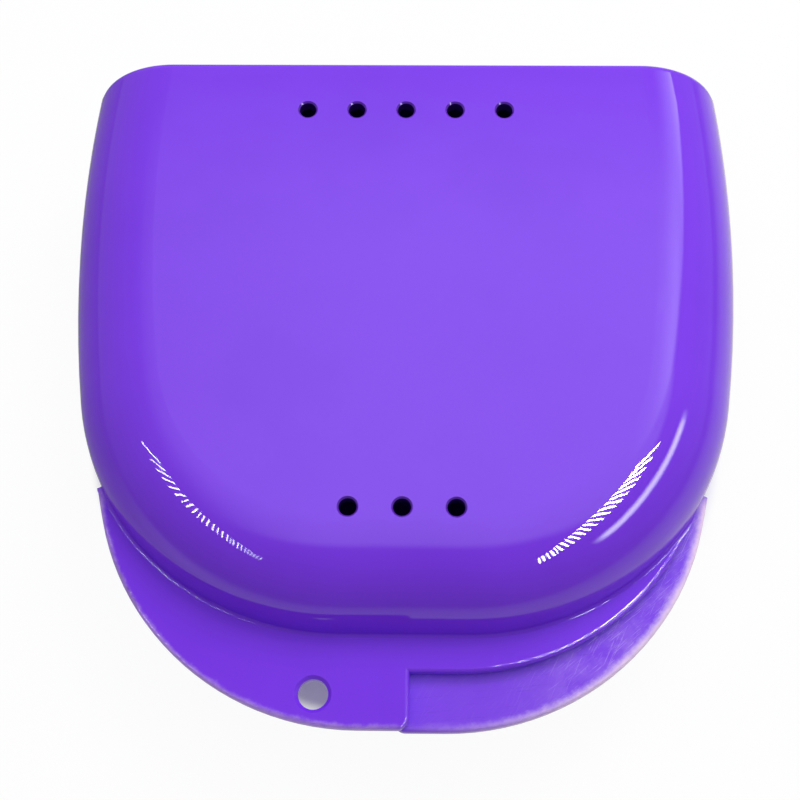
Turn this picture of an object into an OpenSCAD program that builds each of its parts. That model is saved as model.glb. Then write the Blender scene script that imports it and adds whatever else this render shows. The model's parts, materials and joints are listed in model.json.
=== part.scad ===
// Hinged two-shell retainer case with offset thumb tabs and vent holes, in millimetres.
// The case stands on its flat floor: +Z is up, +Y points to the hinge and -Y to the thumb tabs.

/* [Plan of the case] */
// Width across the bowed sides
case_w = 81.4; // [74:0.2:90]
// Depth from the front wall to the back wall
case_d = 69.5; // [62:0.5:78]
// Distance from the back wall to the line where the case is widest
widest_back = 18; // [8:1:26]
// Radius of the bowed sides
side_r = 160; // [120:5:300]
// Radius of the front corners, between the sides and the straight front
corner_r = 32; // [24:0.5:33.5]

/* [Shells] */
// Height of the lid above its rim
lid_h = 12; // [11.5:0.5:16]
// Height of the base from its floor to its rim
base_h = 14; // [12.5:0.5:22]
// Wall thickness of both shells
wall = 1.6; // [1.2:0.1:2.2]
// Rounding between the lid's top and its walls
lid_round_r = 10.8; // [7:0.1:11]
// Rounding between the base's floor and its walls
base_round_r = 9; // [5:0.5:11]
// Rounding of the edges round the back walls
back_edge_r = 1.2; // [0.6:0.1:2]

/* [Rim] */
// Gap between the lid's rim and the base's rim
seam_gap = 0.15; // [0.1:0.05:0.4]
// Height of the locating lip above the base's rim
lip_h = 2; // [1:0.25:3]
// Thickness of the locating lip
lip_t = 1.2; // [0.8:0.1:1.8]
// Depth of the lip's root below the base's rim
lip_root = 1.5; // [1:0.25:3]
// Clearance between the locating lip and the lid's wall
lip_clear = 0.3; // [0.2:0.05:0.6]
// Distance from the back wall to the ends of the locating lip
lip_back = 8; // [5:0.5:20]
// Length of the notch between the lip's front stretch and each side stretch
lip_notch = 6; // [3:0.5:12]
// Length of the friction bead on the front of the lip
bead_l = 18; // [8:1:30]
// Radius of the friction bead's section
bead_r = 0.5; // [0.4:0.05:0.7]
// Clearance between the friction bead and the lid's wall
bead_clear = 0.05; // [0.03:0.01:0.15]

/* [Thumb tabs] */
// Reach of a thumb tab in front of the front wall
tab_reach = 10.6; // [8:0.1:15]
// Reach of the cut-back strip beside the other shell's tab
strip_reach = 4.2; // [3:0.1:6]
// Distance of the tab outline's sides inside the case's sides
tab_inset = 0.8; // [0.6:0.1:1.4]
// Radius of the tab outline's corners
tab_corner_r = 31.2; // [28:0.1:33]
// Length of the tab outline's side behind its corner
tab_side_l = 4.2; // [2:0.1:6]
// Distance of the strip outline's sides inside the case's sides
strip_inset = 1.8; // [1.4:0.1:2.4]
// Radius of the strip outline's corners
strip_corner_r = 30; // [27:0.1:31]
// Thickness of each tab
tab_t = 1.8; // [1.4:0.1:2.6]
// Rounding of the tabs' upper and lower edges
tab_edge_r = 0.5; // [0.2:0.05:0.65]
// How far each tab runs past the middle of the case
tab_overlap = 0.9; // [0.3:0.1:3]
// Rounding, seen from above, of the tab's corner beside the middle
tab_end_r = 1.4; // [0.8:0.1:3]
// Fillet between the lid's wall and its tab
foot_r = 0.7; // [0.5:0.1:1.4]

/* [Lanyard hole] */
// Diameter of the lanyard hole
lanyard_d = 3.4; // [2.4:0.1:4.4]
// Distance from the middle of the case to the lanyard hole
lanyard_x = 9.9; // [6:0.1:14]
// Distance from the tab's front edge to the lanyard hole
lanyard_edge = 3.85; // [3.2:0.05:5]
// Chamfer at both mouths of the lanyard hole
lanyard_chamfer = 0.4; // [0.1:0.05:0.6]

/* [Vent holes] */
// Diameter of a vent hole
vent_d = 2; // [1.2:0.1:2.6]
// Distance between neighbouring vent holes
vent_pitch = 6; // [4:0.25:8]
// Number of vent holes in the back row
vent_back_n = 5; // [1:1:7]
// Number of vent holes in the front row
vent_front_n = 3; // [1:1:5]
// Distance from the back wall to the back row
vent_back_y = 6.9; // [4:0.1:12]
// Distance from the front wall to the front row
vent_front_y = 12.1; // [11:0.1:20]
// Chamfer at the outer mouth of a vent hole
vent_chamfer = 0.2; // [0.1:0.05:0.4]

/* [Hinge] */
// Distance from the middle of the case to the middle of each hinge
hinge_x = 22; // [15:0.5:26]
// Diameter of a hinge pin
pin_d = 2; // [1.4:0.1:2.6]
// Diameter of the hinge knuckles
knuckle_d = 5.2; // [4.4:0.1:7]
// Length of the lid's knuckle in each hinge
lid_knuckle_l = 7; // [4:0.5:10]
// Length of each of the two base knuckles in a hinge
base_knuckle_l = 4.5; // [3:0.5:7]
// End gap between neighbouring knuckles
knuckle_gap = 0.3; // [0.2:0.05:0.6]
// Gap between a knuckle and the wall of the other shell
knuckle_clear = 0.4; // [0.3:0.05:1]
// Radial clearance of the pin in the base's knuckles
pin_seat_clear = 0.02; // [0.01:0.005:0.03]
// Radial clearance of the pin in the lid's knuckle
pin_run_clear = 0.06; // [0.03:0.01:0.1]
// Chamfer on the ends of a hinge pin
pin_chamfer = 0.25; // [0.1:0.05:0.4]
// Drop of a knuckle's web where it meets its wall
web_root = 4.5; // [3:0.25:7]
// Drop of a knuckle's web below the hinge axis
web_tip = 2; // [1:0.1:2.1]

/* [Hidden] */
$fn = 120;
shell_colour = [0.47, 0.27, 0.90];
pin_colour = [0.72, 0.73, 0.75];

// Cutting solids run past the faces that they cut by this much
over = 1;
// A rounding cutter stands this far out, so that it crosses the faces and doesn't graze them
ease = 0.03;
// A turned piece runs on by this angle at both ends, so that it overlaps the next piece by a hair
hair = 0.000001;
// The strips run on behind their corners by this much, inside the walls
strip_side_l = 0.5;

// Places along the depth: the middle of the case with its tabs and hinge is y = 0
knuckle_r = knuckle_d / 2;
pin_r = pin_d / 2;
vent_r = vent_d / 2;
lanyard_r = lanyard_d / 2;
hinge_offset = knuckle_r + knuckle_clear;
tab_front = -(tab_reach + case_d + hinge_offset + knuckle_r) / 2;
wall_front = tab_front + tab_reach;
wall_back = wall_front + case_d;
hinge_y = wall_back + hinge_offset;
widest_y = wall_back - widest_back;
lid_z = base_h + seam_gap;

// Arcs of the case's plan, on its right half: a corner arc runs on into a side arc
swing = side_r - corner_r;
corner_y = wall_front + corner_r;
side_from = hundredth(asin((corner_y - widest_y) / swing));
corner_x = hundredth(case_w / 2 - side_r + swing * cos(side_from));
corner_c = [corner_x, corner_y];
side_c = corner_c - swing * [cos(side_from), sin(side_from)];
back_over = asin((wall_back + over - side_c.y) / swing);

// A length or angle to the nearest hundredth, so that neighbouring pieces meet on the same number
function hundredth(v) = round(v * 100) / 100;

// The other short side of a right-angled triangle with long side c
function leg(c, a) = sqrt(c * c - a * a);

// Direction from p to q, in degrees
function bearing(p, q) = atan2(q.y - p.y, q.x - p.x);

// The turn, in degrees, over a length along an arc
function turn(length, r) = length / r * 180 / PI;

// Centre of an outline's right corner of radius r, which touches a front edge at this reach and a side arc
function outline_corner(reach, inset, r) =
    let (y = wall_front - reach + r)
    [hundredth(side_c.x + leg(side_r - inset - r, side_c.y - y)), y];

// Turns a section about a vertical axis at c, from one direction to another.
// The axis is moved into place in a coarse and a fine step, to keep its place exact.
module turned(c, from, to) {
    coarse = [hundredth(c.x), hundredth(c.y)];
    translate(coarse)
        translate(c - coarse)
            rotate_extrude(angle = to - from + 2 * hair, start = from - hair)
                children();
}

// Runs a section straight along the front, from the right corner's centre c over a length
module straight(c, length) {
    translate([c.x, c.y, 0])
        rotate([90, 0, -90])
            linear_extrude(length)
                children();
}

// Both mirror images of the right half
module both_sides() {
    children();
    mirror([1, 0, 0])
        children();
}

// A quarter disc with its corner at the origin
module quarter(r) {
    intersection() {
        circle(r);
        square(r);
    }
}

// Section of a dome from its flat top to its wall, whose outer face is at distance r
module dome_section(r, reach, h, round_r) {
    translate([r - reach, 0])
        square([reach - round_r, h]);
    translate([r - round_r, 0])
        square([round_r, h - round_r]);
    translate([r - round_r, h - round_r])
        quarter(round_r);
}

// Solid dome over the case's plan, drawn in by inset
module dome(inset, h, round_r) {
    reach = corner_r - inset;
    core_x = corner_c.x + reach / 4;
    core_y = corner_c.y - reach / 4;
    intersection() {
        union() {
            both_sides() {
                turned(side_c, side_from, back_over)
                    dome_section(side_r - inset, reach, h, round_r);
                turned(corner_c, -90, side_from)
                    dome_section(corner_r - inset, reach, h, round_r);
            }
            straight(corner_c, 2 * corner_x)
                dome_section(corner_r - inset, reach, h, round_r);
            translate([-core_x, core_y, 0])
                cube([2 * core_x, wall_back + over - core_y, h]);
        }
        translate([-case_w, wall_back - inset - 2 * case_d, -over])
            cube([2 * case_w, 2 * case_d, h + 2 * over]);
    }
}

// Section of the cutter that rounds a square edge, whose faces meet at the origin
module edge_section(r) {
    difference() {
        translate([-r, -r])
            square(r + over);
        translate([ease - r, ease - r])
            circle(r);
    }
}

// Cutter that rounds the back edges of a dome: over the top and down both sides
module back_edges(h, round_r) {
    half_w = side_c.x + leg(side_r, wall_back - side_c.y);
    bend_x = half_w - round_r;
    bend_z = h - round_r;
    translate([bend_x, wall_back, h])
        rotate([90, 0, -90])
            linear_extrude(2 * bend_x)
                mirror([1, 0])
                    edge_section(back_edge_r);
    both_sides() {
        translate([bend_x, wall_back, bend_z])
            rotate([-90, 0, 0])
                rotate_extrude(angle = 90, start = -90)
                    translate([round_r, 0])
                        edge_section(back_edge_r);
        translate([half_w, wall_back, -over])
            linear_extrude(bend_z + over)
                edge_section(back_edge_r);
    }
}

// Closed-top shell over the case's plan, open at z = 0, before its tabs are added
module shell_outside(h, round_r) {
    difference() {
        dome(0, h, round_r);
        back_edges(h, round_r);
    }
}

// Hollow of a shell
module shell_inside(h, round_r) {
    translate([0, 0, -over])
        dome(wall, h - wall + over, round_r - wall);
}

// Section of a tab's rim: a plate whose edge at distance r is rounded above and below
module tab_section(r, reach, t, edge_r) {
    translate([r - reach, 0])
        square([reach - edge_r, t]);
    translate([r - edge_r, edge_r])
        square([edge_r, t - 2 * edge_r]);
    translate([r - edge_r, t - edge_r])
        quarter(edge_r);
    translate([r - edge_r, edge_r])
        mirror([0, 1])
            quarter(edge_r);
}

// Right half of a tab plate: its side, its rounded corner, and its straight front as far as end_x
module tab_half(reach, inset, corner, side_l, end_x, t, edge_r) {
    c = outline_corner(reach, inset, corner);
    band = reach + wall;
    outer = side_r - inset;
    from = hundredth(bearing(side_c, c));
    turned(c - (outer - corner) * [cos(from), sin(from)], from, from + turn(side_l, outer))
        tab_section(outer, band, t, edge_r);
    turned(c, -90, from)
        tab_section(corner, band, t, edge_r);
    straight(c, c.x - end_x)
        tab_section(corner, band, t, edge_r);
}

// Both halves of the lid's tab: the full tab on the left and the cut-back strip on the right
module tabs(t, edge_r) {
    end_x = tab_overlap - tab_end_r;
    mirror([1, 0, 0])
        tab_half(tab_reach, tab_inset, tab_corner_r, tab_side_l, -end_x, t, edge_r);
    tab_half(strip_reach, strip_inset, strip_corner_r, strip_side_l, end_x, t, edge_r);
    turned([end_x, tab_front + tab_end_r], -90, 0)
        tab_section(tab_end_r, tab_end_r, t, edge_r);
    translate([end_x, wall_front + wall, 0])
        rotate([90, 0, 0])
            linear_extrude(tab_reach + wall - tab_end_r)
                tab_section(tab_end_r, tab_end_r, t, edge_r);
}

// Section of the fillet at the foot of the lid's wall, whose outer face is at distance r
module foot_section(r) {
    rise = tab_t + foot_r - lid_h + lid_round_r;
    foot_x = r - lid_round_r + leg(lid_round_r + foot_r, rise);
    difference() {
        translate([r - wall / 2, tab_t - foot_r / 2])
            square([foot_x - r + wall / 2, foot_r * 3 / 2]);
        translate([foot_x - ease, tab_t + foot_r - ease])
            circle(foot_r);
    }
}

// Fillet between the lid's wall and its tabs, only where a tab lies under it
module foot_fillet() {
    intersection() {
        union() {
            both_sides()
                turned(corner_c, -90, side_from)
                    foot_section(corner_r);
            straight(corner_c, 2 * corner_x)
                foot_section(corner_r);
        }
        tabs(tab_t + 2 * foot_r, tab_edge_r);
    }
}

// Vent holes in a row of n, at depth y
module vent_row(n, y) {
    for (i = [0 : n - 1])
        translate([(i - (n - 1) / 2) * vent_pitch, y, 0]) {
            translate([0, 0, lid_h - lid_round_r])
                cylinder(r = vent_r, h = lid_round_r + over);
            translate([0, 0, lid_h - vent_chamfer])
                cylinder(r1 = vent_r, r2 = vent_r + vent_chamfer + over, h = vent_chamfer + over);
        }
}

// Cutter for the lanyard hole, chamfered at both faces of the tab
module lanyard_hole() {
    flare = lanyard_chamfer + over;
    translate([-lanyard_x, tab_front + lanyard_edge, 0]) {
        translate([0, 0, -over])
            cylinder(r = lanyard_r, h = tab_t + 2 * over);
        translate([0, 0, tab_t - lanyard_chamfer])
            cylinder(r1 = lanyard_r, r2 = lanyard_r + flare, h = flare);
        translate([0, 0, lanyard_chamfer - flare])
            cylinder(r1 = lanyard_r + flare, r2 = lanyard_r, h = flare);
    }
}

// A knuckle of length l about the hinge axis, with a web to the wall above it
module knuckle(l) {
    rotate([0, 90, 0])
        cylinder(r = knuckle_r, h = l, center = true);
    rotate([90, 0, 90])
        translate([0, 0, -l / 2])
            linear_extrude(l)
                polygon([
                    [-hinge_offset - wall / 2, knuckle_gap],
                    [0, knuckle_gap],
                    [0, web_tip],
                    [-hinge_offset - wall / 2, web_root]
                ]);
}

// Bore through the knuckles of both hinges
module knuckle_bores(r, x, l) {
    both_sides()
        translate([x, hinge_y, 0])
            rotate([0, 90, 0])
                cylinder(r = r, h = l, center = true);
}

// Lid: domed shell with vent holes, a full tab on the left and a strip on the right
module lid_shell() {
    color(shell_colour)
        translate([0, 0, lid_z])
            difference() {
                union() {
                    difference() {
                        union() {
                            shell_outside(lid_h, lid_round_r);
                            tabs(tab_t, tab_edge_r);
                            foot_fillet();
                        }
                        shell_inside(lid_h, lid_round_r);
                    }
                    both_sides()
                        translate([hinge_x, hinge_y, -seam_gap])
                            knuckle(lid_knuckle_l);
                }
                vent_row(vent_back_n, wall_back - vent_back_y);
                vent_row(vent_front_n, wall_front + vent_front_y);
                lanyard_hole();
                translate([0, 0, -seam_gap])
                    knuckle_bores(pin_r + pin_run_clear, hinge_x, lid_knuckle_l + 2 * over);
            }
}

// Section of the locating lip and its root, for a wall whose outer face is at distance r
module lip_section(r) {
    outer = r - wall - lip_clear;
    inner = outer - lip_t;
    in_wall = r - wall / 2;
    polygon([
        [inner, lip_h],
        [outer, lip_h],
        [outer, -lip_clear],
        [in_wall, -lip_clear],
        [in_wall, -lip_root - in_wall + inner],
        [inner, -lip_root]
    ]);
}

// Locating lip round the front and along each side of the base's rim, with its friction bead
module lip() {
    bead_y = wall_front + wall + bead_clear + bead_r;
    lip_to = asin((wall_back - lip_back - side_c.y) / side_r);
    both_sides() {
        turned(side_c, side_from + turn(lip_notch / 2, side_r), lip_to)
            lip_section(side_r);
        turned(corner_c, -90, side_from - turn(lip_notch / 2, corner_r))
            lip_section(corner_r);
    }
    straight(corner_c, 2 * corner_x)
        lip_section(corner_r);
    translate([0, bead_y, lip_h / 2])
        rotate([0, 90, 0])
            cylinder(r = bead_r, h = bead_l, center = true);
}

// Distance along the hinge from its middle to the middle of a base knuckle
function base_knuckle_x() = (lid_knuckle_l + base_knuckle_l) / 2 + knuckle_gap;

// Base: flat-floored shell with a locating lip, a full tab on the right and a strip on the left
module base_shell() {
    color(shell_colour)
        difference() {
            union() {
                difference() {
                    union() {
                        translate([0, 0, base_h])
                            mirror([0, 0, 1])
                                shell_outside(base_h, base_round_r);
                        translate([0, 0, base_h - tab_t])
                            mirror([1, 0, 0])
                                tabs(tab_t, tab_edge_r);
                    }
                    translate([0, 0, base_h])
                        mirror([0, 0, 1])
                            shell_inside(base_h, base_round_r);
                }
                translate([0, 0, base_h])
                    lip();
                both_sides()
                    for (s = [-1, 1])
                        translate([hinge_x + s * base_knuckle_x(), hinge_y, base_h])
                            mirror([0, 0, 1])
                                knuckle(base_knuckle_l);
            }
            translate([0, 0, base_h])
                knuckle_bores(pin_r + pin_seat_clear, hinge_x, hinge_l() + 2 * over);
        }
}

// Length of one hinge, over its three knuckles
function hinge_l() = lid_knuckle_l + 2 * (base_knuckle_l + knuckle_gap);

// Hinge pin through the three knuckles of one hinge, at x
module hinge_pin(x) {
    shank = hinge_l() - 2 * pin_chamfer;
    color(pin_colour)
        translate([x, hinge_y, base_h])
            rotate([0, 90, 0]) {
                cylinder(r = pin_r, h = shank, center = true);
                for (s = [0, 1])
                    mirror([0, 0, s])
                        translate([0, 0, shank / 2])
                            cylinder(r1 = pin_r, r2 = pin_r - pin_chamfer, h = pin_chamfer);
            }
}

module hinge_pin_left() {
    hinge_pin(-hinge_x);
}

module hinge_pin_right() {
    hinge_pin(hinge_x);
}

base_shell();
lid_shell();
hinge_pin_left();
hinge_pin_right();
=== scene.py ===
import json
import math

import bpy
from bpy.props import FloatProperty, FloatVectorProperty, IntProperty, PointerProperty
from mathutils import Matrix, Vector


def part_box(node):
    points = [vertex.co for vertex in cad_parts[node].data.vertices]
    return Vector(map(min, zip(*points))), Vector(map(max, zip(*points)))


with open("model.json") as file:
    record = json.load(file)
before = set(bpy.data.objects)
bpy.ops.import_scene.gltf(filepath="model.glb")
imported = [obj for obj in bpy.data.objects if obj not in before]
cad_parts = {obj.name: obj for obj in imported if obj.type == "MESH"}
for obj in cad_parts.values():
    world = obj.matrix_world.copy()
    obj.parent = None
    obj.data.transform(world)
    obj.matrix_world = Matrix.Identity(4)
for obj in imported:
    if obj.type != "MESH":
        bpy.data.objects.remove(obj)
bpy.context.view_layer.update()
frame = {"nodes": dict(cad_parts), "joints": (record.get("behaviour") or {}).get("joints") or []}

bl_info = {
    "name": "Retainer case",
    "version": (1, 0, 0),
    "blender": (4, 5, 0),
    "location": "3D View > Sidebar > Retainer case",
    "description": "Finishes a hinged retainer case in glossy moulded plastic and sets it in a light tent",
    "category": "Object",
}

MM = 0.001
WHITE = (1.0, 1.0, 1.0, 1.0)

# Places taken from the frame, in metres
HINGE = Vector(frame["joints"][0]["pos_m"])
RIM_Z = HINGE.z
TAB_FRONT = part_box("base_shell")[0].y
LID_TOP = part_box("lid_shell")[1].z

# Heights and places that tell the thumb tabs and the vent holes from the rest of the mouldings
ABOVE_LID_TAB = RIM_Z + 2.2 * MM
BELOW_LID_TAB = RIM_Z + 0.2 * MM
ABOVE_BASE_TAB = RIM_Z + 0.3 * MM
BELOW_BASE_TAB = RIM_Z - 2.0 * MM
BELOW_VENTS = LID_TOP - 1.75 * MM
BEHIND_VENTS = HINGE.y - 6 * MM
BEHIND_TABS = -14 * MM

# Polished plastic: its specular level, refraction and the depth of its ripple
POLISHED_GLOSS = 0.5
PLASTIC_IOR = 1.49
RIPPLE_DEPTH = 0.008 * MM

# Floor: the shaded patch under the case, and how it shows in reflections
SHADE_CENTRE = (0.0, 1 * MM, 0.0)
SHADE_INNER = 39.5 * MM
SHADE_OUTER = 42 * MM
MIRRORED_SHARE = 0.85
MIRRORED_TONE = (1.0, 0.95, 0.86, 1.0)

# Lamps: their places and sizes, in metres
ROOF_PLACE = (0.03, 0.06, 0.36)
ROOF_SIZE = (0.58, 0.46)
KEY_PLACE = (0.10, 0.22, 0.36)
KEY_SIZE = (0.18, 0.18)
SOFTBOX_PLACE = (0.26, 0.264, 0.345)
SOFTBOX_SIZE = (0.53, 0.195)
SOFTBOX_TURN = math.radians(51.9)
STRIP_PLACE = (0.295, -0.10, 0.20)
STRIP_SIZE = (0.30, 0.065)

# Lamp bands: the rows of each lie between two lines through three points in plan, at one height
BAND_HEIGHT = 0.34
RIGHT_INNER = ((0.219, -0.016), (0.200, -0.095), (0.174, -0.310))
RIGHT_OUTER = ((0.312, 0.004), (0.280, -0.130), (0.210, -0.392))
LEFT_INNER = ((-0.300, -0.035), (-0.254, -0.165), (-0.205, -0.340))
LEFT_OUTER = ((-0.400, -0.012), (-0.312, -0.225), (-0.238, -0.395))
LEFT_EXTRA_ROWS = 4
LEFT_ROW_SHARE = 0.7
ROW_THINNING = 0.55

SENSOR_WIDTH = 36.0


class PlasticSettings(bpy.types.PropertyGroup):
    """Colours and surface of the two mouldings."""

    colour: FloatVectorProperty(
        name="Colour", description="Purple of the moulded plastic", subtype="COLOR",
        size=3, min=0.0, max=1.0, default=(0.20, 0.036, 0.84))
    deep_colour: FloatVectorProperty(
        name="Deep colour", description="Darker purple where the pigment swirls", subtype="COLOR",
        size=3, min=0.0, max=1.0, default=(0.19, 0.033, 0.81))
    cut_colour: FloatVectorProperty(
        name="Cut colour", description="Dark purple of the deeper scratches", subtype="COLOR",
        size=3, min=0.0, max=1.0, default=(0.11, 0.015, 0.60))
    # Also the colour of the painted sheen on the base's tab and of the painted highlight along the lid's
    # tab edge
    scuff_and_highlight_colour: FloatVectorProperty(
        name="Scuff colour", description="Pale lilac of scratches, clouding and the lid's worn edge",
        subtype="COLOR", size=3, min=0.0, max=1.0, default=(0.72, 0.50, 0.95))
    # Painted shade: the walls of the vent holes are darkened with this colour
    hole_shade_colour: FloatVectorProperty(
        name="Hole colour", description="Dark purple of the walls of the vent holes", subtype="COLOR",
        size=3, min=0.0, max=1.0, default=(0.03, 0.005, 0.16))
    # The base tab's edge: partly wear, partly a painted highlight
    rim_wear_and_highlight_colour: FloatVectorProperty(
        name="Rim colour", description="Pinkish white of the worn edge of the base's thumb tab",
        subtype="COLOR", size=3, min=0.0, max=1.0, default=(0.93, 0.72, 0.93))
    roughness: FloatProperty(
        name="Roughness", description="Roughness of the polished surface",
        min=0.0, max=1.0, default=0.02)
    tab_roughness: FloatProperty(
        name="Tab roughness", description="Roughness that the lid's satin thumb tab adds",
        min=0.0, max=1.0, default=0.38)
    tab_dulling: FloatProperty(
        name="Tab dulling", description="Specular level that the lid's satin thumb tab loses",
        min=0.0, max=0.5, default=0.38)
    scuffed_roughness: FloatProperty(
        name="Scuffed roughness", description="Roughness of the base's scuffed thumb tab",
        min=0.0, max=1.0, default=0.38)
    tab_corner_r: FloatProperty(
        name="Tab corner radius", description="Radius of the thumb tab's outline at its corner",
        unit="LENGTH", default=31.2 * MM)
    tab_corner_x: FloatProperty(
        name="Tab corner place", description="Distance from the middle of the case to that corner's centre",
        unit="LENGTH", default=4.91 * MM)
    # Width of the base tab's pale edge, which is wear with a painted highlight
    worn_and_highlit_edge: FloatProperty(
        name="Worn edge", description="Width of the rubbed band along the base's tab",
        unit="LENGTH", default=1.1 * MM)
    # Width of the painted highlight along the lid's tab edge
    lid_highlight_edge: FloatProperty(
        name="Worn edge of the lid", description="Width of the rubbed band along the lid's tab",
        unit="LENGTH", default=0.65 * MM)


class SteelSettings(bpy.types.PropertyGroup):
    """Finish of the hinge pins."""

    colour: FloatVectorProperty(
        name="Colour", description="Colour of the drawn steel", subtype="COLOR",
        size=3, min=0.0, max=1.0, default=(0.56, 0.57, 0.59))
    roughness: FloatProperty(
        name="Roughness", description="Roughness of the drawn steel", min=0.0, max=1.0, default=0.28)


class StudioSettings(bpy.types.PropertyGroup):
    """Camera, floor and lights."""

    aim: FloatVectorProperty(
        name="Aim", description="Point that the camera looks at", subtype="XYZ", unit="LENGTH",
        size=3, default=(-0.44 * MM, -5.27 * MM, 20.0 * MM))
    distance: FloatProperty(
        name="Distance", description="Distance from the camera to its aim", unit="LENGTH",
        default=172.1 * MM)
    elevation: FloatProperty(
        name="Elevation", description="Height of the camera above the horizon", subtype="ANGLE",
        default=math.radians(69.18))
    yaw: FloatProperty(
        name="Yaw", description="Turn of the camera to the right of the case's front", subtype="ANGLE",
        default=math.radians(2.21))
    roll: FloatProperty(
        name="Roll", description="Roll of the camera about its view", subtype="ANGLE",
        default=math.radians(-1.73))
    lens: FloatProperty(
        name="Lens", description="Focal length on a sensor 36 mm wide, in millimetres", default=65.9)
    floor_size: FloatProperty(
        name="Floor size", description="Width and depth of the floor", unit="LENGTH", default=3.0)
    floor_colour: FloatVectorProperty(
        name="Floor colour", description="Colour of the plain floor", subtype="COLOR",
        size=3, min=0.0, max=1.0, default=(0.92, 0.92, 0.92))
    floor_glow: FloatProperty(
        name="Floor glow", description="Share of plain white in the floor as it is seen",
        min=0.0, max=1.0, default=0.95)
    shade_glow: FloatProperty(
        name="Shade glow", description="Share of plain white in the floor under the case",
        min=0.0, max=1.0, default=0.1)
    floor_dim: FloatProperty(
        name="Floor, dim side", description="Brightness of the floor's reflection on the left",
        min=0.0, default=0.24)
    floor_lit: FloatProperty(
        name="Floor, lit side", description="Brightness of the floor's reflection at the front and right",
        min=0.0, default=0.85)
    tent_dim: FloatProperty(
        name="Tent", description="Brightness of the light tent at the front left", min=0.0, default=0.25)
    tent_right: FloatProperty(
        name="Tent, right side", description="Brightness that the tent gains to the right",
        min=0.0, default=0.03)
    tent_back: FloatProperty(
        name="Tent, back", description="Brightness that the tent gains to the back", min=0.0, default=0.26)
    roof_light: FloatProperty(
        name="Roof light", description="Brightness of the panel overhead", min=0.0, default=1.1)
    softbox_light: FloatProperty(
        name="Softbox light", description="Brightness of the softbox at its back end", min=0.0, default=4.2)
    key_light: FloatProperty(
        name="Key light", description="Brightness of the lamp behind on the right, which casts the shadows",
        min=0.0, default=5.2)
    strip_light: FloatProperty(
        name="Strip light", description="Brightness of the low strip on the right", min=0.0, default=12.0)
    row_light: FloatProperty(
        name="Row light", description="Brightness of the first lamp row on the right",
        min=0.0, default=60.0)
    rows: IntProperty(
        name="Rows", description="Lamp rows in the right lamp band; the left one has a few more",
        min=2, default=22)


class RetainerCaseSettings(bpy.types.PropertyGroup):
    """All settings of the retainer case."""

    plastic: PointerProperty(
        name="Plastic", description="Finish of the two mouldings", type=PlasticSettings)
    steel: PointerProperty(
        name="Steel", description="Finish of the hinge pins", type=SteelSettings)
    studio: PointerProperty(
        name="Studio", description="Camera, floor and lights", type=StudioSettings)


class Nodes:
    """Adds nodes to a node tree and joins them up."""

    def __init__(self, tree):
        self.tree = tree
        tree.nodes.clear()

    def add(self, kind, settings=None, **sockets):
        """A node of this kind; a socket is given a plain value or another node's output."""
        made = self.tree.nodes.new(kind)
        for name, value in (settings or {}).items():
            setattr(made, name, value)
        for name, value in sockets.items():
            self.put(made.inputs[name.replace("_", " ")], value)
        return made

    def put(self, socket, value):
        """Sets a socket, or links an output to it."""
        if isinstance(value, bpy.types.NodeSocket):
            self.tree.links.new(value, socket)
        else:
            socket.default_value = value

    def math(self, operation, a, b=0.0, clamp=False):
        """The output of a maths node."""
        made = self.tree.nodes.new("ShaderNodeMath")
        made.operation = operation
        made.use_clamp = clamp
        self.put(made.inputs[0], a)
        self.put(made.inputs[1], b)
        return made.outputs[0]

    def times(self, first, *others):
        """The product of an output and other values."""
        product = first
        for value in others:
            product = self.math("MULTIPLY", product, value)
        return product

    def plus(self, start, value, share):
        """A start plus a share of an output."""
        return self.math("ADD", start, self.math("MULTIPLY", value, share))

    def ramp(self, value, low, high):
        """A value mapped smoothly from low..high to 0..1."""
        made = self.add("ShaderNodeMapRange", {"interpolation_type": "SMOOTHSTEP"}, Value=value,
                        From_Min=low, From_Max=high)
        return made.outputs["Result"]

    def mix(self, share, a, b):
        """Two colours mixed."""
        made = self.tree.nodes.new("ShaderNodeMix")
        made.data_type = "RGBA"
        self.put(made.inputs["Factor"], share)
        self.put(made.inputs[6], a)
        self.put(made.inputs[7], b)
        return made.outputs[2]

    def mix_shaders(self, share, a, b):
        """Two shaders mixed."""
        made = self.tree.nodes.new("ShaderNodeMixShader")
        for socket, value in zip(made.inputs, (share, a, b)):
            self.put(socket, value)
        return made.outputs["Shader"]

    def distance(self, vector, point):
        """Distance from a fixed point."""
        made = self.tree.nodes.new("ShaderNodeVectorMath")
        made.operation = "DISTANCE"
        self.put(made.inputs[0], vector)
        self.put(made.inputs[1], point)
        return made.outputs["Value"]

    def noise(self, vector, scale, detail=2.0, roughness=0.5):
        """A noise texture's value."""
        made = self.add("ShaderNodeTexNoise", Vector=vector, Scale=scale, Detail=detail,
                        Roughness=roughness)
        return made.outputs["Fac"]

    def turned(self, vector, angle, stretch):
        """Coordinates turned about Z and stretched, for marks that run one way."""
        made = self.add("ShaderNodeMapping", {"vector_type": "TEXTURE"}, Vector=vector,
                        Rotation=(0.0, 0.0, angle), Scale=stretch)
        return made.outputs["Vector"]

    def scratches(self, vector, degrees, length, width, share):
        """Fine marks of about this length and width along one direction; more of them with more share."""
        along = self.turned(vector, math.radians(degrees), (length, width, width))
        marks = self.noise(along, scale=1.0, detail=3.0, roughness=0.7)
        return self.ramp(marks, low=0.78 - share, high=0.84 - share)


def colour(value):
    """A setting's colour with full alpha."""
    return (*value, 1.0)


def new_material(name):
    """An empty node material and its nodes."""
    material = bpy.data.materials.new(name)
    material.use_nodes = True
    return material, Nodes(material.node_tree)


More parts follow.
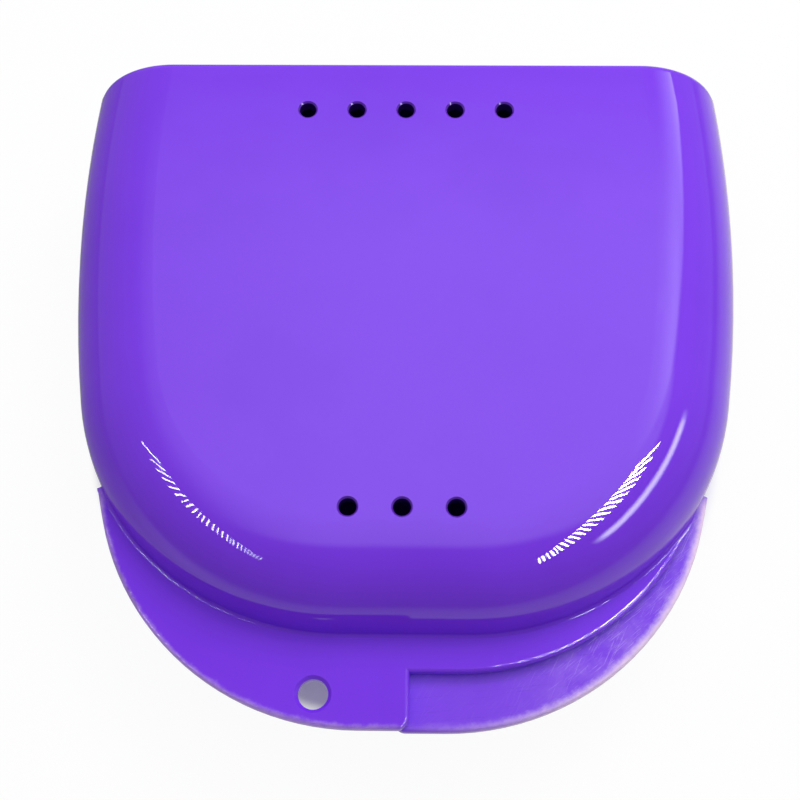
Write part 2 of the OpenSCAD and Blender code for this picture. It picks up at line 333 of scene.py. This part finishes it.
def plastic_surface(nodes, vector, look):
    """The polished plastic that both mouldings share: its colour, roughness and height."""
    swirl = nodes.noise(vector, scale=55.0, detail=3.0, roughness=0.6)
    swirl = nodes.ramp(swirl, low=0.35, high=0.7)
    tint = nodes.mix(swirl, colour(look.colour), colour(look.deep_colour))
    grain = nodes.noise(vector, scale=420.0, detail=4.0, roughness=0.65)
    hair = nodes.math(
        "MAXIMUM",
        nodes.scratches(vector, degrees=35.0, length=14 * MM, width=0.09 * MM, share=0.02),
        nodes.scratches(vector, degrees=-62.0, length=9 * MM, width=0.07 * MM, share=0.0))
    rough = nodes.plus(look.roughness, grain, share=0.012)
    rough = nodes.plus(rough, hair, share=0.06)
    hair_paleness = 0.05
    tint = nodes.mix(nodes.times(hair, hair_paleness), tint, colour(look.scuff_and_highlight_colour))
    ripple = nodes.noise(vector, scale=230.0)
    return tint, rough, ripple


def plastic_shader(nodes, tint, rough, height, gloss):
    """Joins the surface to a shader and an output."""
    bump = nodes.add("ShaderNodeBump", Height=height, Distance=RIPPLE_DEPTH, Strength=1.0)
    shader = nodes.add("ShaderNodeBsdfPrincipled", Base_Color=tint, Roughness=rough,
                       Specular_IOR_Level=gloss, Normal=bump.outputs["Normal"], IOR=PLASTIC_IOR)
    nodes.add("ShaderNodeOutputMaterial", Surface=shader.outputs["BSDF"])


def tab_reach(nodes, place, side, look):
    """Place outwards from the middle, and reach from the tab's corner; side is 1 right and -1 left."""
    corner_y = TAB_FRONT + look.tab_corner_r
    outward = nodes.times(place.outputs["X"], side)
    across = nodes.math("MAXIMUM", nodes.math("SUBTRACT", outward, look.tab_corner_x), 0.0)
    along = nodes.math("MINIMUM", nodes.math("SUBTRACT", place.outputs["Y"], corner_y), 0.0)
    flat = nodes.add("ShaderNodeCombineXYZ", X=across, Y=along)
    reach = nodes.add("ShaderNodeVectorMath", {"operation": "LENGTH"}, Vector=flat.outputs["Vector"])
    return outward, reach.outputs["Value"]


def worn_and_highlit_rim(nodes, place, vector, side, width, full, levels, look):
    """Ragged pale band along a thumb tab's outer edge, strongest from full outwards, between two heights; a
    painted highlight, and on the base also wear.
    """
    outward, reach = tab_reach(nodes, place, side, look)
    ragged = nodes.noise(vector, scale=900.0, detail=3.0, roughness=0.7)
    rim = nodes.ramp(nodes.plus(reach, ragged, share=0.9 * MM),
                     low=look.tab_corner_r - width + 0.3 * MM, high=look.tab_corner_r + 0.5 * MM)
    outer = nodes.ramp(outward, low=-6 * MM, high=full)
    front = nodes.ramp(place.outputs["Y"], low=BEHIND_TABS, high=BEHIND_TABS - 3 * MM)
    above = nodes.ramp(place.outputs["Z"], low=levels[0], high=levels[0] + 0.8 * MM)
    below = nodes.ramp(place.outputs["Z"], low=levels[1], high=levels[1] - 0.2 * MM)
    return nodes.times(rim, outer, front, above, below)


def vent_wall_shade_mask(nodes, place, facing):
    """Where the walls of the vent holes are, to be darkened with painted shade: upright faces in the
    thickness of the lid's top.
    """
    high = nodes.ramp(place.outputs["Z"], low=BELOW_VENTS, high=BELOW_VENTS + 0.1 * MM)
    upright = nodes.ramp(nodes.math("ABSOLUTE", facing.outputs["Z"]), low=0.85, high=0.6)
    inner = nodes.ramp(place.outputs["Y"], low=BEHIND_VENTS, high=BEHIND_VENTS - 1 * MM)
    return nodes.times(high, upright, inner)


def polished_plastic(look):
    """Glossy plastic of the lid, with painted shade on the walls of its vent holes and a satin thumb tab
    with a thin painted highlight along its edge.
    """
    material, nodes = new_material("polished_plastic")
    coords = nodes.add("ShaderNodeTexCoord")
    vector = coords.outputs["Object"]
    place = nodes.add("ShaderNodeSeparateXYZ", Vector=vector)
    facing = nodes.add("ShaderNodeSeparateXYZ", Vector=coords.outputs["Normal"])
    tint, rough, ripple = plastic_surface(nodes, vector, look)
    low = nodes.ramp(place.outputs["Z"], low=ABOVE_LID_TAB + 0.4 * MM, high=ABOVE_LID_TAB)
    tab = nodes.times(low, nodes.ramp(facing.outputs["Z"], low=0.97, high=0.995))
    rough = nodes.plus(rough, tab, share=look.tab_roughness)
    gloss = nodes.plus(POLISHED_GLOSS, tab, share=-look.tab_dulling)
    # The walls of the vent holes are darkened with painted shade
    tint = nodes.mix(vent_wall_shade_mask(nodes, place, facing), tint, colour(look.hole_shade_colour))
    # A thin pale band along the tab's outer edge: a painted highlight
    rim_wear_and_highlight = worn_and_highlit_rim(nodes, place, vector, side=-1.0, width=look.lid_highlight_edge, full=6 * MM,
                        levels=(BELOW_LID_TAB, ABOVE_LID_TAB), look=look)
    rim_paleness = 0.55
    tint = nodes.mix(nodes.times(rim_wear_and_highlight, rim_paleness), tint, colour(look.scuff_and_highlight_colour))
    plastic_shader(nodes, tint, rough, ripple, gloss)
    return material


def scuffed_plastic(look):
    """Plastic of the base: polished like the lid, with a satin, scratched thumb tab that has a painted
    sheen to the right and a pinkish white edge of wear with a painted highlight.
    """
    material, nodes = new_material("scuffed_plastic")
    coords = nodes.add("ShaderNodeTexCoord")
    vector = coords.outputs["Object"]
    place = nodes.add("ShaderNodeSeparateXYZ", Vector=vector)
    facing = nodes.add("ShaderNodeSeparateXYZ", Vector=coords.outputs["Normal"])
    tint, rough, ripple = plastic_surface(nodes, vector, look)
    upper = nodes.ramp(facing.outputs["Z"], low=0.35, high=0.8)
    tab = nodes.times(upper, nodes.ramp(place.outputs["Z"], low=RIM_Z - 1.0 * MM, high=RIM_Z - 0.4 * MM))
    # Dark cuts along the tab, and over them pale scratches, more of them to the right, and pale clouds to
    # the right that are a painted sheen
    cuts = nodes.scratches(vector, degrees=6.0, length=8 * MM, width=0.13 * MM, share=0.17)
    cut_depth = 0.6
    tint = nodes.mix(nodes.times(cuts, tab, cut_depth), tint, colour(look.cut_colour))
    marks = nodes.math(
        "MAXIMUM",
        nodes.scratches(vector, degrees=40.0, length=3.2 * MM, width=0.10 * MM, share=0.20),
        nodes.scratches(vector, degrees=64.0, length=4.5 * MM, width=0.13 * MM, share=0.17))
    scratch_and_sheen_side = nodes.ramp(place.outputs["X"], low=10 * MM, high=27 * MM)
    scratch_paleness = 0.04
    scratched = nodes.times(marks, nodes.plus(scratch_paleness, scratch_and_sheen_side, share=0.30))
    # Pale clouds, growing to the right: a painted sheen
    cloud = nodes.noise(vector, scale=260.0, detail=4.0, roughness=0.6)
    sheen_paleness = 0.24
    painted_sheen_clouds = nodes.times(nodes.ramp(cloud, low=0.35, high=0.75), scratch_and_sheen_side, sheen_paleness)
    scuffs_and_sheen = nodes.times(tab, nodes.math("ADD", scratched, painted_sheen_clouds))
    tint = nodes.mix(scuffs_and_sheen, tint, colour(look.scuff_and_highlight_colour))
    # A pinkish white band along the tab's outer edge: wear with a painted highlight
    rim_wear_and_highlight = worn_and_highlit_rim(nodes, place, vector, side=1.0, width=look.worn_and_highlit_edge, full=30 * MM,
                        levels=(BELOW_BASE_TAB, ABOVE_BASE_TAB), look=look)
    rim_paleness = 0.9
    tint = nodes.mix(nodes.times(rim_wear_and_highlight, rim_paleness), tint, colour(look.rim_wear_and_highlight_colour))
    pale = nodes.math("MAXIMUM", scuffs_and_sheen, rim_wear_and_highlight, clamp=True)
    rough = nodes.plus(rough, tab, share=look.scuffed_roughness - look.roughness)
    rough = nodes.plus(rough, pale, share=0.12)
    height = nodes.plus(ripple, nodes.times(marks, tab), share=-0.5)
    gloss = nodes.plus(POLISHED_GLOSS, tab, share=-0.6 * look.tab_dulling)
    plastic_shader(nodes, tint, rough, height, gloss)
    return material


def drawn_steel(look):
    """Steel of the hinge pins, with fine marks along their length."""
    material, nodes = new_material("drawn_steel")
    vector = nodes.add("ShaderNodeTexCoord").outputs["Object"]
    drawn = nodes.turned(vector, 0.0, (6 * MM, 0.05 * MM, 0.05 * MM))
    lines = nodes.noise(drawn, scale=1.0, detail=3.0, roughness=0.6)
    line_shade = 0.7
    dark = colour(line_shade * part for part in look.colour)
    tint = nodes.mix(nodes.ramp(lines, low=0.35, high=0.7), dark, colour(look.colour))
    rough = nodes.plus(look.roughness, lines, share=0.15)
    bump = nodes.add("ShaderNodeBump", Height=lines, Distance=0.004 * MM)
    shader = nodes.add("ShaderNodeBsdfPrincipled", Base_Color=tint, Roughness=rough, Metallic=1.0,
                       Normal=bump.outputs["Normal"])
    nodes.add("ShaderNodeOutputMaterial", Surface=shader.outputs["BSDF"])
    return material


def plain_floor(studio):
    """Pale floor: seen as near white, greyer under the case, dimmer in the left side's reflection."""
    material, nodes = new_material("plain_floor")
    path = nodes.add("ShaderNodeLightPath").outputs
    spot = nodes.add("ShaderNodeTexCoord").outputs["Object"]
    place = nodes.add("ShaderNodeSeparateXYZ", Vector=spot)
    # Share of plain white, for the camera and in reflections
    clear = nodes.ramp(nodes.distance(spot, SHADE_CENTRE), low=SHADE_INNER, high=SHADE_OUTER)
    glow = nodes.plus(studio.shade_glow, clear, share=studio.floor_glow - studio.shade_glow)
    mirrored = nodes.math("MAXIMUM", path["Is Glossy Ray"], path["Is Transmission Ray"])
    share = nodes.math("MAXIMUM", nodes.times(glow, path["Is Camera Ray"]),
                       nodes.times(mirrored, MIRRORED_SHARE))
    # Brightness of that white: full for the camera, and in reflections lit at the front and right
    right = nodes.ramp(place.outputs["X"], low=-60 * MM, high=60 * MM)
    front = nodes.ramp(place.outputs["Y"], low=-20 * MM, high=-80 * MM)
    near = nodes.ramp(nodes.distance(spot, (0.0, 0.0, 0.0)), low=230 * MM, high=60 * MM)
    lit = nodes.times(nodes.math("MAXIMUM", right, front), near)
    lit = nodes.plus(studio.floor_dim, lit, share=studio.floor_lit - studio.floor_dim)
    bright = nodes.math("MAXIMUM", lit, path["Is Camera Ray"])
    tone = nodes.mix(path["Is Camera Ray"], MIRRORED_TONE, WHITE)
    matt = nodes.add("ShaderNodeBsdfDiffuse", Color=colour(studio.floor_colour))
    white = nodes.add("ShaderNodeEmission", Color=tone, Strength=bright)
    both = nodes.mix_shaders(share, matt.outputs["BSDF"], white.outputs["Emission"])
    nodes.add("ShaderNodeOutputMaterial", Surface=both)
    return material


def light_tent(studio):
    """World of a light tent: brighter at the back and the right, plain white where it is seen."""
    world = bpy.data.worlds.new("light_tent")
    bpy.context.scene.world = world
    world.use_nodes = True
    nodes = Nodes(world.node_tree)
    way = nodes.add("ShaderNodeSeparateXYZ", Vector=nodes.add("ShaderNodeTexCoord").outputs["Generated"])
    right = nodes.ramp(way.outputs["X"], low=-0.6, high=0.8)
    back = nodes.ramp(way.outputs["Y"], low=-0.7, high=0.5)
    inside = nodes.plus(studio.tent_dim, right, share=studio.tent_right)
    inside = nodes.plus(inside, back, share=studio.tent_back)
    path = nodes.add("ShaderNodeLightPath")
    strength = nodes.math("MAXIMUM", inside, path.outputs["Is Camera Ray"])
    tent = nodes.add("ShaderNodeBackground", Color=WHITE, Strength=strength)
    nodes.add("ShaderNodeOutputWorld", Surface=tent.outputs["Background"])


def add_panel(name, place, size, brightness, aim=None, turn=0.0):
    """A rectangular lamp that faces a point, or else straight down with a turn about Z."""
    bpy.ops.object.light_add(type="AREA", location=place)
    lamp = bpy.context.object
    lamp.name = name
    lamp.rotation_euler = (0.0, 0.0, turn)
    if aim is not None:
        lamp.rotation_euler = (Vector(aim) - Vector(place)).to_track_quat("-Z", "Y").to_euler()
    lamp.data.shape = "RECTANGLE"
    lamp.data.size = size[0]
    lamp.data.size_y = size[1]
    lamp.data.energy = brightness * math.pi * size[0] * size[1]
    lamp.visible_camera = False
    return lamp


def fade(lamp, profile):
    """Varies a lamp's light over it; profile makes a strength from nodes, place along and place across."""
    lamp.data.use_nodes = True
    nodes = Nodes(lamp.data.node_tree)
    spot = nodes.add("ShaderNodeSeparateXYZ", Vector=nodes.add("ShaderNodeTexCoord").outputs["UV"])
    strength = profile(nodes, spot.outputs["X"], spot.outputs["Y"])
    light = nodes.add("ShaderNodeEmission", Color=WHITE, Strength=strength)
    nodes.add("ShaderNodeOutputLight", Surface=light.outputs["Emission"])


def roof_profile(nodes, along, across):
    """Fades to the left, to the back and, over a shorter way, to the front and the right."""
    left = nodes.ramp(along, low=0.0, high=0.45)
    right = nodes.ramp(along, low=1.0, high=0.9)
    front = nodes.ramp(across, low=0.0, high=0.16)
    back = nodes.ramp(across, low=1.0, high=0.75)
    return nodes.times(left, right, front, back)


def softbox_profile(nodes, along, across):
    """Brightens to its back end, and fades over a short way outwards and a long way inwards."""
    front_share = 0.34
    rise = nodes.plus(front_share, nodes.times(along, along), share=1.0 - front_share)
    front = nodes.ramp(along, low=0.0, high=0.25)
    back = nodes.ramp(along, low=1.0, high=0.93)
    outer = nodes.ramp(across, low=0.0, high=0.14)
    inner = nodes.ramp(across, low=1.0, high=0.2)
    return nodes.times(rise, front, back, outer, inner)


def strip_profile(nodes, along, across):
    """Fades to all sides from its middle line."""
    lower = nodes.ramp(across, low=0.0, high=0.5)
    upper = nodes.ramp(across, low=1.0, high=0.5)
    start = nodes.ramp(along, low=0.0, high=0.15)
    end = nodes.ramp(along, low=1.0, high=0.85)
    return nodes.times(lower, upper, start, end)


def point_on(line, t):
    """A point on the smooth line through three points at the bands' height, with t from 0 to 1."""
    first, middle, last = (Vector((*point, BAND_HEIGHT)) for point in line)
    return first * (1 - t) * (1 - 2 * t) + middle * 4 * t * (1 - t) + last * t * (2 * t - 1)


def lamp_band(name, inner, outer, count, crowding, thickness, brightness, end_share):
    """Short lamp rows between two lines overhead, closer and thinner to the end, seen in reflections."""
    for i in range(count):
        t = (i / (count - 1)) ** crowding
        near = point_on(inner, t)
        far = point_on(outer, t)
        row = far - near
        size = (row.length, thickness * (1.0 - ROW_THINNING * t))
        light = brightness * (1.0 - t * (1.0 - end_share))
        lamp = add_panel(f"{name}_{i}", (near + far) / 2, size, light, turn=math.atan2(row.y, row.x))
        lamp.visible_diffuse = False


def set_lamps(studio):
    """Lamps of the light tent."""
    top = Vector((0.0, 0.0, LID_TOP))
    roof = add_panel("roof", ROOF_PLACE, ROOF_SIZE, studio.roof_light)
    fade(roof, roof_profile)
    key = add_panel("key", KEY_PLACE, KEY_SIZE, studio.key_light, aim=top)
    key.visible_glossy = False
    softbox = add_panel("softbox", SOFTBOX_PLACE, SOFTBOX_SIZE, studio.softbox_light, turn=SOFTBOX_TURN)
    fade(softbox, softbox_profile)
    strip = add_panel("strip", STRIP_PLACE, STRIP_SIZE, studio.strip_light, aim=top)
    strip.visible_diffuse = False
    fade(strip, strip_profile)
    lamp_band("right_row", RIGHT_INNER, RIGHT_OUTER, count=studio.rows, crowding=0.6,
              thickness=9.5 * MM, brightness=studio.row_light, end_share=0.9)
    lamp_band("left_row", LEFT_INNER, LEFT_OUTER, count=studio.rows + LEFT_EXTRA_ROWS, crowding=0.8,
              thickness=4.5 * MM, brightness=studio.row_light * LEFT_ROW_SHARE, end_share=0.4)


def set_camera(studio):
    """Camera above the case's front, looking down at its lid."""
    back = Vector((
        math.sin(studio.yaw) * math.cos(studio.elevation),
        -math.cos(studio.yaw) * math.cos(studio.elevation),
        math.sin(studio.elevation)))
    right = Vector((0.0, 0.0, 1.0)).cross(back).normalized()
    up = back.cross(right)
    turn = Matrix((right, up, back)).transposed() @ Matrix.Rotation(studio.roll, 3, "Z")
    bpy.ops.object.camera_add()
    camera = bpy.context.object
    camera.name = "photo_camera"
    camera.matrix_world = Matrix.Translation(Vector(studio.aim) + back * studio.distance) @ turn.to_4x4()
    camera.data.sensor_width = SENSOR_WIDTH
    camera.data.lens = studio.lens
    camera.data.clip_start = 1 * MM
    bpy.context.scene.camera = camera


def finish_node(name, material):
    """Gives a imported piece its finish."""
    node = frame["nodes"][name]
    for place in node.material_slots:
        place.material = material
    return node


class CASE_OT_lid(bpy.types.Operator):
    """Finish the lid in polished plastic"""

    bl_idname = "retainer_case.lid"
    bl_label = "Finish the lid"

    def execute(self, context):
        look = context.scene.retainer_case.plastic
        lid = finish_node("lid_shell", polished_plastic(look))
        return {"FINISHED"}


class CASE_OT_base(bpy.types.Operator):
    """Finish the base in polished plastic with a scuffed thumb tab"""

    bl_idname = "retainer_case.base"
    bl_label = "Finish the base"

    def execute(self, context):
        look = context.scene.retainer_case.plastic
        base = finish_node("base_shell", scuffed_plastic(look))
        return {"FINISHED"}


class CASE_OT_pins(bpy.types.Operator):
    """Finish both hinge pins in drawn steel"""

    bl_idname = "retainer_case.pins"
    bl_label = "Finish the hinge pins"

    def execute(self, context):
        steel = drawn_steel(context.scene.retainer_case.steel)
        for name in ("hinge_pin_left", "hinge_pin_right"):
            finish_node(name, steel)
        return {"FINISHED"}


class CASE_OT_stage(bpy.types.Operator):
    """Set up the floor, the light tent, its lamps and the camera"""

    bl_idname = "retainer_case.stage"
    bl_label = "Set the stage"

    def execute(self, context):
        studio = context.scene.retainer_case.studio
        bpy.ops.object.select_all(action="DESELECT")
        bpy.ops.mesh.primitive_plane_add(size=studio.floor_size)
        floor = context.object
        floor.name = "floor"
        floor.data.materials.append(plain_floor(studio))
        light_tent(studio)
        set_lamps(studio)
        set_camera(studio)
        context.scene.view_settings.view_transform = "Standard"
        return {"FINISHED"}


class CASE_PT_panel(bpy.types.Panel):
    """Steps that finish the retainer case"""

    bl_idname = "CASE_PT_panel"
    bl_label = "Retainer case"
    bl_space_type = "VIEW_3D"
    bl_region_type = "UI"
    bl_category = "Retainer case"

    def draw(self, context):
        for step in STEPS:
            self.layout.operator(step.bl_idname)


STEPS = (CASE_OT_lid, CASE_OT_base, CASE_OT_pins, CASE_OT_stage)
CLASSES = (PlasticSettings, SteelSettings, StudioSettings, RetainerCaseSettings, *STEPS, CASE_PT_panel)


def register():
    for made in CLASSES:
        bpy.utils.register_class(made)
    bpy.types.Scene.retainer_case = PointerProperty(type=RetainerCaseSettings)


def unregister():
    del bpy.types.Scene.retainer_case
    for made in reversed(CLASSES):
        bpy.utils.unregister_class(made)


def main():
    register()
    bpy.ops.retainer_case.lid()
    bpy.ops.retainer_case.base()
    bpy.ops.retainer_case.pins()
    bpy.ops.retainer_case.stage()


if __name__ == "__main__":
    main()
